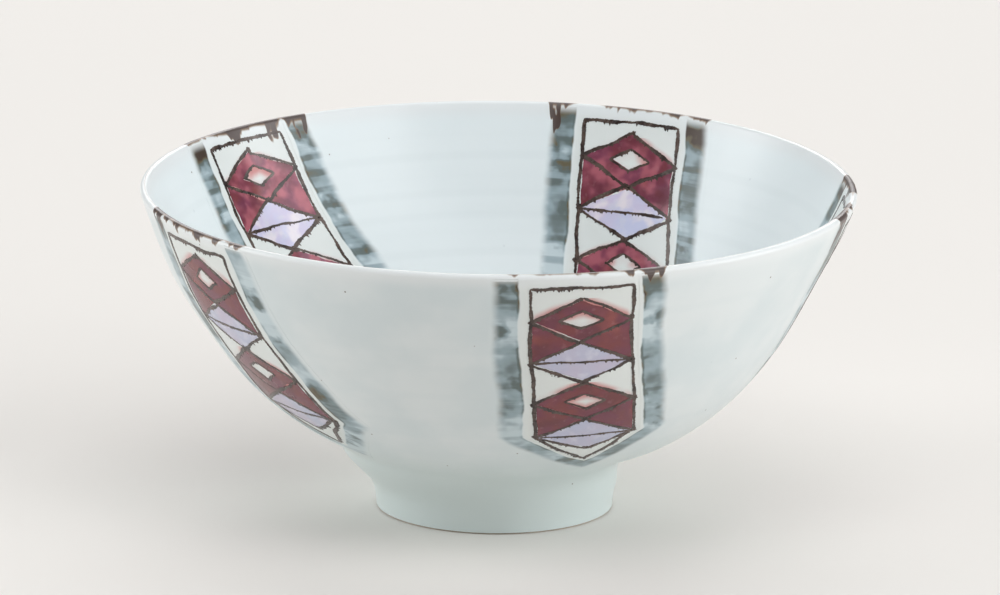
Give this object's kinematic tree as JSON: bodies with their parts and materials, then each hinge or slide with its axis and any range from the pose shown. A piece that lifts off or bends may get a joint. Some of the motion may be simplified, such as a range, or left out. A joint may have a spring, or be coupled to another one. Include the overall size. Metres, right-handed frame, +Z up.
{
  "type": "porcelain bowl",
  "caption": "Hand-thrown porcelain bowl with a flaring wall, thin rounded lip and turned foot ring, glazed pale blue-white and painted with patterned sashes over the lip.",
  "frame": {"origin": "on the table, under the middle of the foot ring", "axes": "+Z up along the bowl's axis; -Y is the front, where the picture's camera stands"},
  "size_m": [0.22, 0.22, 0.101],
  "materials": {
    "porcelain": "bare fired porcelain, smooth and slightly toasted at the foot",
    "pale_glaze": "glossy pale blue-white glaze with fine iron specks",
    "grey_wash": "streaky brushed oxide wash in the glaze",
    "brown_line": "drawn iron-manganese line, satin",
    "claret_lustre": "glossy claret lustre, mottled",
    "lilac_lustre": "pearly lilac lustre"
  },
  "bodies": {
    "root": {"bowl_wall": "porcelain", "foot_ring": "porcelain", "inside_glaze": "pale_glaze", "outside_glaze": "pale_glaze", "foot_well_glaze": "pale_glaze", "grey_wash": "grey_wash", "brown_lines": "brown_line", "claret_lustre": "claret_lustre", "lilac_lustre": "lilac_lustre"}
  },
  "joints": []
}
